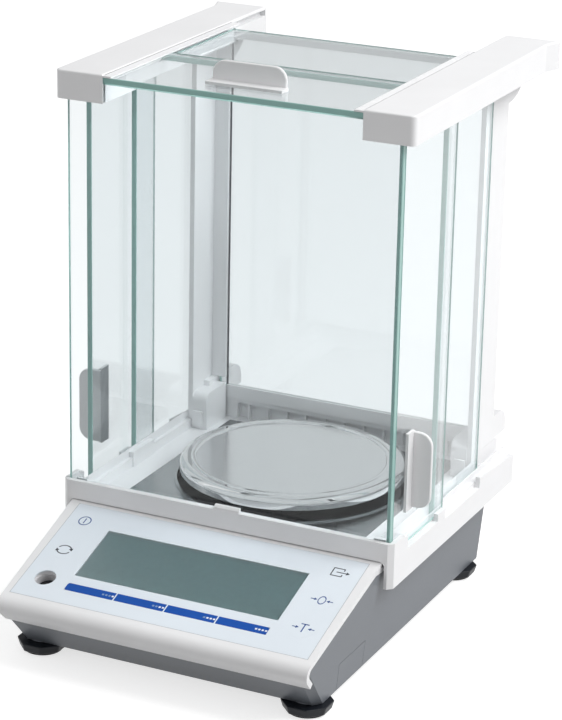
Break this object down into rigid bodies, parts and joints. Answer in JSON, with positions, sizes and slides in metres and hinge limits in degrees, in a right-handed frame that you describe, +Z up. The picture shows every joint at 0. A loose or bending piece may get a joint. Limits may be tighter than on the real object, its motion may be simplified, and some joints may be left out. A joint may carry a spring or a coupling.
{
  "type": "laboratory balance",
  "caption": "Bench laboratory balance with a round weighing pan in a glass draft shield with sliding doors, sloping key panel with display, and levelling feet.",
  "frame": {"origin": "on the ground under the middle of the overall box", "axes": "+Z up, console and display facing -Y, +X to the right seen from the front"},
  "size_m": [0.2092, 0.2714, 0.3037],
  "materials": {
    "glass": "clear float glass with teal edges",
    "grip_plastic": "white moulding",
    "white_plastic": "white moulding",
    "grey_plastic": "grey moulding",
    "black_plastic": "black moulding",
    "socket_metal": "plated steel",
    "panel_sheet": "printed polyester sheet",
    "function_keys": "blue printed keys",
    "clear_window": "clear window",
    "display": "grey-green liquid crystal display",
    "vial": "round level vial",
    "circuit_board": "circuit board",
    "cast_metal": "die cast",
    "sensor_metal": "machined",
    "sensor_steel": "ground steel",
    "support_metal": "pressed sheet",
    "pan_steel": "brushed disc, polished bead",
    "floor_steel": "fine brushed sheet",
    "screw_steel": "zinc plated",
    "foot_plastic": "black moulding",
    "foot_rubber": "black rubber"
  },
  "bodies": {
    "base": {"case_screws": "screw_steel", "display_glass": "display", "display_lens": "clear_window", "floor_plate": "floor_steel", "fork_element": "sensor_steel", "front_clip": "white_plastic", "front_glass": "glass", "guide_block": "sensor_metal", "hook_cover": "grey_plastic", "key_board": "circuit_board", "level_housing": "black_plastic", "level_vial": "vial", "lower_case": "grey_plastic", "main_board": "circuit_board", "pan_post": "sensor_metal", "pan_support": "support_metal", "pane_top_rear": "glass", "panel_sheet": "panel_sheet", "pillar_foot_left": "white_plastic", "pillar_foot_right": "white_plastic", "pillar_left": "white_plastic", "pillar_right": "white_plastic", "power_inlet": "black_plastic", "rail_left": "white_plastic", "rail_right": "white_plastic", "rear_beam_low": "white_plastic", "rear_beam_top": "white_plastic", "rear_glass": "glass", "sensor_base": "cast_metal", "serial_socket": "socket_metal", "shield_base": "white_plastic", "side_cover": "grey_plastic", "upper_case": "white_plastic", "well_dish": "black_plastic"},
    "door_right_front": {"pane_right_front": "glass", "grip_right": "grip_plastic"},
    "door_right_rear": {"pane_right_rear": "glass"},
    "door_left_front": {"pane_left_front": "glass", "grip_left": "grip_plastic"},
    "door_left_rear": {"pane_left_rear": "glass"},
    "door_top": {"pane_top_front": "glass", "grip_top": "grip_plastic"},
    "pan": {"weighing_pan": "pan_steel"},
    "key_on_off": {"key_on_off": "panel_sheet"},
    "key_menu": {"key_menu": "panel_sheet"},
    "key_output": {"key_output": "panel_sheet"},
    "key_zero": {"key_zero": "panel_sheet"},
    "key_tare": {"key_tare": "panel_sheet"},
    "key_f1": {"key_f1": "function_keys"},
    "key_f2": {"key_f2": "function_keys"},
    "key_f3": {"key_f3": "function_keys"},
    "key_f4": {"key_f4": "function_keys"},
    "foot_front_right": {"foot_pad_front_right": "foot_rubber"},
    "dial_front_right": {"dial_front_right": "foot_plastic"},
    "foot_front_left": {"foot_pad_front_left": "foot_rubber"},
    "dial_front_left": {"dial_front_left": "foot_plastic"},
    "foot_rear_right": {"foot_pad_rear_right": "foot_rubber"},
    "dial_rear_right": {"dial_rear_right": "foot_plastic"},
    "foot_rear_left": {"foot_pad_rear_left": "foot_rubber"},
    "dial_rear_left": {"dial_rear_left": "foot_plastic"}
  },
  "joints": [
    {"name": "right_front_door", "type": "slide", "parent": "base", "child": "door_right_front", "axis": [0, 1, 0], "range_m": [0, 0.115]},
    {"name": "right_rear_door", "type": "slide", "parent": "base", "child": "door_right_rear", "axis": [0, 1, 0], "range_m": [0, 0.055]},
    {"name": "left_front_door", "type": "slide", "parent": "base", "child": "door_left_front", "axis": [0, 1, 0], "range_m": [-0.0172, 0.097]},
    {"name": "left_rear_door", "type": "slide", "parent": "base", "child": "door_left_rear", "axis": [0, 1, 0], "range_m": [0, 0.056]},
    {"name": "top_door", "type": "slide", "parent": "base", "child": "door_top", "axis": [0, 1, 0], "range_m": [0, 0.117]},
    {"name": "pan_lift", "type": "slide", "parent": "base", "child": "pan", "axis": [0, 0, 1], "range_m": [0, 0.1]},
    {"name": "press_on_off", "type": "slide", "parent": "base", "child": "key_on_off", "axis": [0, 0.2964, -0.9551], "range_m": [0, 0.0003], "stiffness_N_per_m": 1000},
    {"name": "press_menu", "type": "slide", "parent": "base", "child": "key_menu", "axis": [0, 0.2964, -0.9551], "range_m": [0, 0.0003], "stiffness_N_per_m": 1000},
    {"name": "press_output", "type": "slide", "parent": "base", "child": "key_output", "axis": [0, 0.2964, -0.9551], "range_m": [0, 0.0003], "stiffness_N_per_m": 1000},
    {"name": "press_zero", "type": "slide", "parent": "base", "child": "key_zero", "axis": [0, 0.2964, -0.9551], "range_m": [0, 0.0003], "stiffness_N_per_m": 1000},
    {"name": "press_tare", "type": "slide", "parent": "base", "child": "key_tare", "axis": [0, 0.2964, -0.9551], "range_m": [0, 0.0003], "stiffness_N_per_m": 1000},
    {"name": "press_f1", "type": "slide", "parent": "base", "child": "key_f1", "axis": [0, 0.2964, -0.9551], "range_m": [0, 0.0003], "stiffness_N_per_m": 1000},
    {"name": "press_f2", "type": "slide", "parent": "base", "child": "key_f2", "axis": [0, 0.2964, -0.9551], "range_m": [0, 0.0003], "stiffness_N_per_m": 1000},
    {"name": "press_f3", "type": "slide", "parent": "base", "child": "key_f3", "axis": [0, 0.2964, -0.9551], "range_m": [0, 0.0003], "stiffness_N_per_m": 1000},
    {"name": "press_f4", "type": "slide", "parent": "base", "child": "key_f4", "axis": [0, 0.2964, -0.9551], "range_m": [0, 0.0003], "stiffness_N_per_m": 1000},
    {"name": "foot_reach_front_right", "type": "slide", "parent": "base", "child": "foot_front_right", "axis": [0, 0, -1], "range_m": [0, 0.00501]},
    {"name": "dial_turn_front_right", "type": "hinge", "parent": "foot_front_right", "child": "dial_front_right", "pos_m": [0.0759, -0.10965, 0.004], "axis": [0, 0, -1], "range_deg": [0, 1440]},
    {"name": "foot_reach_front_left", "type": "slide", "parent": "base", "child": "foot_front_left", "axis": [0, 0, -1], "range_m": [0, 0.00501]},
    {"name": "dial_turn_front_left", "type": "hinge", "parent": "foot_front_left", "child": "dial_front_left", "pos_m": [-0.0759, -0.10965, 0.004], "axis": [0, 0, -1], "range_deg": [0, 1440]},
    {"name": "foot_reach_rear_right", "type": "slide", "parent": "base", "child": "foot_rear_right", "axis": [0, 0, -1], "range_m": [0, 0.00501]},
    {"name": "dial_turn_rear_right", "type": "hinge", "parent": "foot_rear_right", "child": "dial_rear_right", "pos_m": [0.0759, 0.08015, 0.004], "axis": [0, 0, -1], "range_deg": [0, 1440]},
    {"name": "foot_reach_rear_left", "type": "slide", "parent": "base", "child": "foot_rear_left", "axis": [0, 0, -1], "range_m": [0, 0.00501]},
    {"name": "dial_turn_rear_left", "type": "hinge", "parent": "foot_rear_left", "child": "dial_rear_left", "pos_m": [-0.0759, 0.08015, 0.004], "axis": [0, 0, -1], "range_deg": [0, 1440]}
  ],
  "couplings": [
    {"joint": "foot_reach_front_right", "follows": "dial_turn_front_right", "m_per_rad": 0.00019894},
    {"joint": "foot_reach_front_left", "follows": "dial_turn_front_left", "m_per_rad": 0.00019894},
    {"joint": "foot_reach_rear_right", "follows": "dial_turn_rear_right", "m_per_rad": 0.00019894},
    {"joint": "foot_reach_rear_left", "follows": "dial_turn_rear_left", "m_per_rad": 0.00019894}
  ]
}
